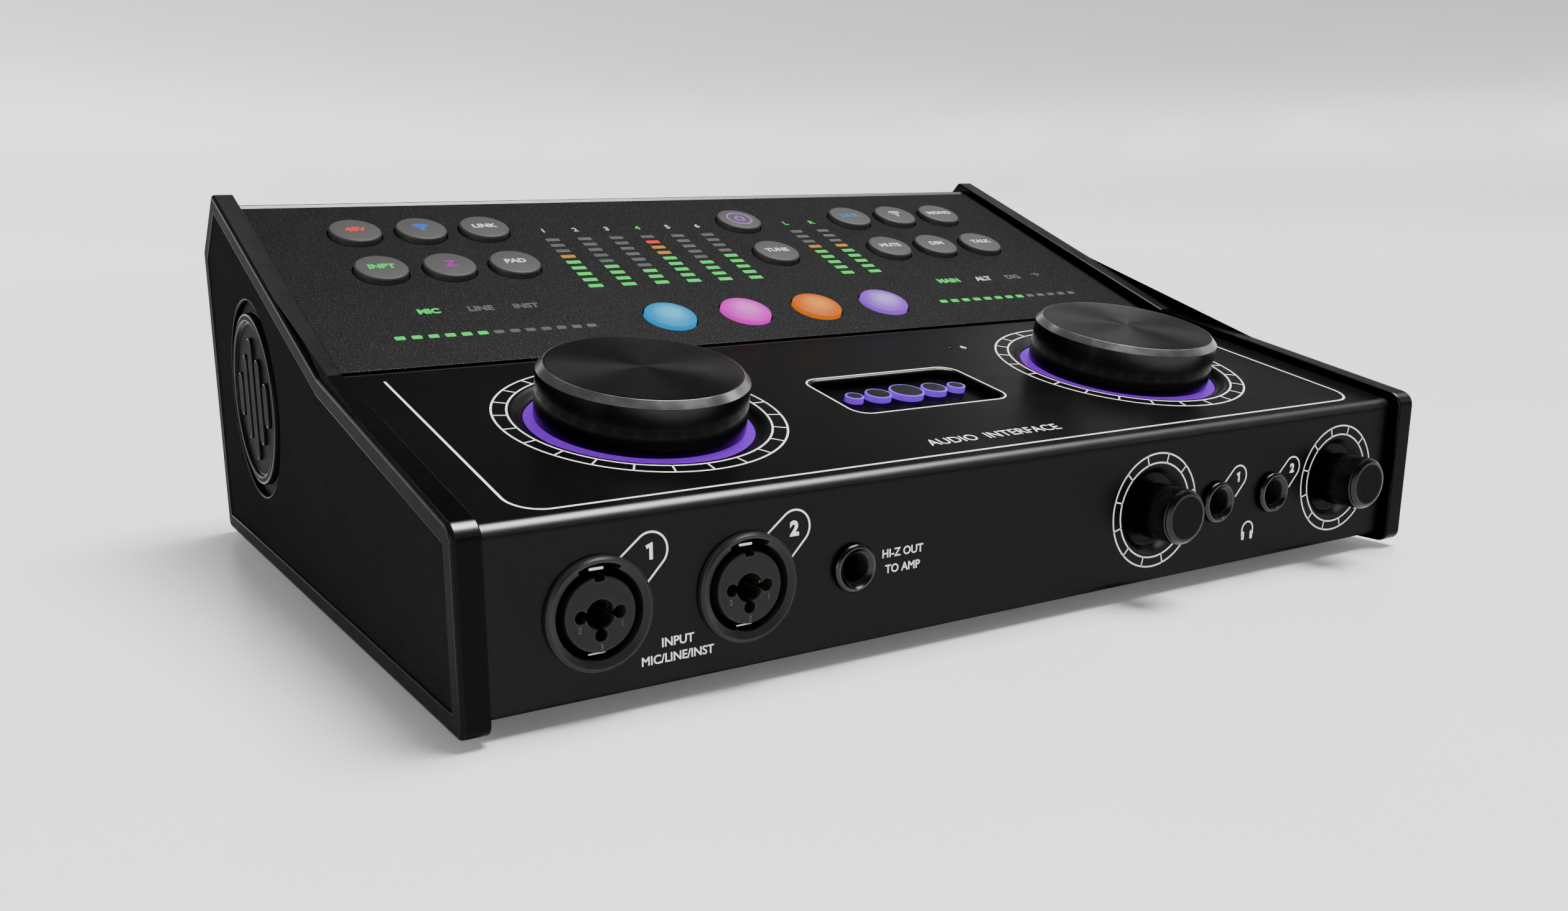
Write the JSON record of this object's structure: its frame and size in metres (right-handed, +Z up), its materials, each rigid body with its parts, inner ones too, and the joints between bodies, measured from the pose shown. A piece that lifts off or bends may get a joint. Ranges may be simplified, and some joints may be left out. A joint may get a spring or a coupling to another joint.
{
  "type": "audio interface",
  "caption": "Desktop audio interface: sloping black case with gloss cheeks, large lit encoders, round keys, level meters, front combo sockets and headphone outputs.",
  "frame": {"origin": "centre of the overall footprint, on the plane that the rubber feet stand on", "axes": "+X to the right seen from the front, -Y out of the front panel, +Z up"},
  "size_m": [0.3, 0.224, 0.1089],
  "materials": {
    "chassis_black": "fine satin black powder coat",
    "pan_black": "black coated sheet",
    "panel_black": "matte black with a fine speckled texture",
    "cheek_plastic": "satin to gloss moulded black",
    "badge_plastic": "satin moulded black",
    "emblem_light": "edge-lit violet",
    "foot_rubber": "matte black",
    "dark_steel": "blackened",
    "circuit_board": "green solder mask",
    "switch_plastic": "moulded",
    "clear_guide": "clear moulded",
    "violet_ring": "lit diffuser",
    "black_anodised": "spun and black anodised",
    "plain_steel": "turned",
    "component_grey": "moulded",
    "black_nickel": "black nickel look bezel on a moulded body",
    "socket_shell": "satin black",
    "socket_core": "glass-filled moulded black",
    "gilt_contact": "gold plated",
    "key_grey": "soft-touch warm grey",
    "key_cyan": "lit translucent cyan",
    "key_magenta": "lit translucent magenta",
    "key_orange": "lit translucent orange",
    "key_violet": "lit translucent violet"
  },
  "bodies": {
    "case": {"top_cover": "chassis_black", "base_pan": "pan_black", "rear_panel": "chassis_black", "control_panel": "panel_black", "left_cheek": "cheek_plastic", "right_cheek": "cheek_plastic", "side_badges": "badge_plastic", "deck_emblem": "emblem_light", "feet": "foot_rubber", "screws": "dark_steel", "main_board": "circuit_board", "control_boards": "circuit_board", "key_switches": "switch_plastic", "light_guides": "clear_guide", "light_rings": "violet_ring", "left_encoder_body": "component_grey", "right_encoder_body": "component_grey", "headphone_pots": "component_grey", "headphone_jack_1": "black_nickel", "headphone_jack_2": "black_nickel", "amp_out_jack": "black_nickel", "combo_shell_1": "socket_shell", "combo_core_1": "socket_core", "combo_shell_2": "socket_shell", "combo_core_2": "socket_core", "combo_contacts": "gilt_contact", "rear_combo_sockets": "socket_shell", "line_jacks": "black_nickel", "midi_sockets": "socket_core", "optical_sockets": "socket_core", "usb_socket": "plain_steel", "dc_inlet": "socket_core", "power_switch": "socket_core"},
    "left_encoder": {"left_encoder_knob": "black_anodised", "left_encoder_shaft": "plain_steel"},
    "right_encoder": {"right_encoder_knob": "black_anodised", "right_encoder_shaft": "plain_steel"},
    "headphone_volume_1": {"headphone_knob_1": "black_anodised", "headphone_shaft_1": "plain_steel"},
    "headphone_volume_2": {"headphone_knob_2": "black_anodised", "headphone_shaft_2": "plain_steel"},
    "power_rocker": {"power_rocker": "socket_core"},
    "key_phantom": {"key_phantom": "key_grey"},
    "key_wireless_in": {"key_wireless_in": "key_grey"},
    "key_link_in": {"key_link_in": "key_grey"},
    "key_input": {"key_input": "key_grey"},
    "key_polarity": {"key_polarity": "key_grey"},
    "key_pad": {"key_pad": "key_grey"},
    "key_home": {"key_home": "key_grey"},
    "key_tune": {"key_tune": "key_grey"},
    "key_link_out": {"key_link_out": "key_grey"},
    "key_wireless_out": {"key_wireless_out": "key_grey"},
    "key_mono": {"key_mono": "key_grey"},
    "key_mute": {"key_mute": "key_grey"},
    "key_dim": {"key_dim": "key_grey"},
    "key_talk": {"key_talk": "key_grey"},
    "colour_key_1": {"colour_key_1": "key_cyan"},
    "colour_key_2": {"colour_key_2": "key_magenta"},
    "colour_key_3": {"colour_key_3": "key_orange"},
    "colour_key_4": {"colour_key_4": "key_violet"}
  },
  "joints": [
    {"name": "left_encoder_turn", "type": "hinge", "parent": "case", "child": "left_encoder", "pos_m": [-0.0815, -0.05288, 0.05481], "axis": [0, -0.2079, 0.9781], "continuous": true},
    {"name": "right_encoder_turn", "type": "hinge", "parent": "case", "child": "right_encoder", "pos_m": [0.0815, -0.05288, 0.05481], "axis": [0, -0.2079, 0.9781], "continuous": true},
    {"name": "headphone_volume_1_turn", "type": "hinge", "parent": "case", "child": "headphone_volume_1", "pos_m": [0.0459, -0.1014, 0.0239], "axis": [0, 1, 0], "range_deg": [-150, 150]},
    {"name": "headphone_volume_2_turn", "type": "hinge", "parent": "case", "child": "headphone_volume_2", "pos_m": [0.1204, -0.1014, 0.0239], "axis": [0, 1, 0], "range_deg": [-150, 150]},
    {"name": "power_rocker_tilt", "type": "hinge", "parent": "case", "child": "power_rocker", "pos_m": [0.108, 0.1056, 0.0622], "axis": [1, 0, 0], "range_deg": [-18, 0]},
    {"name": "key_phantom_press", "type": "slide", "parent": "case", "child": "key_phantom", "axis": [0, 0.3907, -0.9205], "range_m": [0, 0.0012], "stiffness_N_per_m": 400, "springref_m": -0.002},
    {"name": "key_wireless_in_press", "type": "slide", "parent": "case", "child": "key_wireless_in", "axis": [0, 0.3907, -0.9205], "range_m": [0, 0.0012], "stiffness_N_per_m": 400, "springref_m": -0.002},
    {"name": "key_link_in_press", "type": "slide", "parent": "case", "child": "key_link_in", "axis": [0, 0.3907, -0.9205], "range_m": [0, 0.0012], "stiffness_N_per_m": 400, "springref_m": -0.002},
    {"name": "key_input_press", "type": "slide", "parent": "case", "child": "key_input", "axis": [0, 0.3907, -0.9205], "range_m": [0, 0.0012], "stiffness_N_per_m": 400, "springref_m": -0.002},
    {"name": "key_polarity_press", "type": "slide", "parent": "case", "child": "key_polarity", "axis": [0, 0.3907, -0.9205], "range_m": [0, 0.0012], "stiffness_N_per_m": 400, "springref_m": -0.002},
    {"name": "key_pad_press", "type": "slide", "parent": "case", "child": "key_pad", "axis": [0, 0.3907, -0.9205], "range_m": [0, 0.0012], "stiffness_N_per_m": 400, "springref_m": -0.002},
    {"name": "key_home_press", "type": "slide", "parent": "case", "child": "key_home", "axis": [0, 0.3907, -0.9205], "range_m": [0, 0.0012], "stiffness_N_per_m": 400, "springref_m": -0.002},
    {"name": "key_tune_press", "type": "slide", "parent": "case", "child": "key_tune", "axis": [0, 0.3907, -0.9205], "range_m": [0, 0.0012], "stiffness_N_per_m": 400, "springref_m": -0.002},
    {"name": "key_link_out_press", "type": "slide", "parent": "case", "child": "key_link_out", "axis": [0, 0.3907, -0.9205], "range_m": [0, 0.0012], "stiffness_N_per_m": 400, "springref_m": -0.002},
    {"name": "key_wireless_out_press", "type": "slide", "parent": "case", "child": "key_wireless_out", "axis": [0, 0.3907, -0.9205], "range_m": [0, 0.0012], "stiffness_N_per_m": 400, "springref_m": -0.002},
    {"name": "key_mono_press", "type": "slide", "parent": "case", "child": "key_mono", "axis": [0, 0.3907, -0.9205], "range_m": [0, 0.0012], "stiffness_N_per_m": 400, "springref_m": -0.002},
    {"name": "key_mute_press", "type": "slide", "parent": "case", "child": "key_mute", "axis": [0, 0.3907, -0.9205], "range_m": [0, 0.0012], "stiffness_N_per_m": 400, "springref_m": -0.002},
    {"name": "key_dim_press", "type": "slide", "parent": "case", "child": "key_dim", "axis": [0, 0.3907, -0.9205], "range_m": [0, 0.0012], "stiffness_N_per_m": 400, "springref_m": -0.002},
    {"name": "key_talk_press", "type": "slide", "parent": "case", "child": "key_talk", "axis": [0, 0.3907, -0.9205], "range_m": [0, 0.0012], "stiffness_N_per_m": 400, "springref_m": -0.002},
    {"name": "colour_key_1_press", "type": "slide", "parent": "case", "child": "colour_key_1", "axis": [0, 0.3907, -0.9205], "range_m": [0, 0.0012], "stiffness_N_per_m": 400, "springref_m": -0.002},
    {"name": "colour_key_2_press", "type": "slide", "parent": "case", "child": "colour_key_2", "axis": [0, 0.3907, -0.9205], "range_m": [0, 0.0012], "stiffness_N_per_m": 400, "springref_m": -0.002},
    {"name": "colour_key_3_press", "type": "slide", "parent": "case", "child": "colour_key_3", "axis": [0, 0.3907, -0.9205], "range_m": [0, 0.0012], "stiffness_N_per_m": 400, "springref_m": -0.002},
    {"name": "colour_key_4_press", "type": "slide", "parent": "case", "child": "colour_key_4", "axis": [0, 0.3907, -0.9205], "range_m": [0, 0.0012], "stiffness_N_per_m": 400, "springref_m": -0.002}
  ]
}
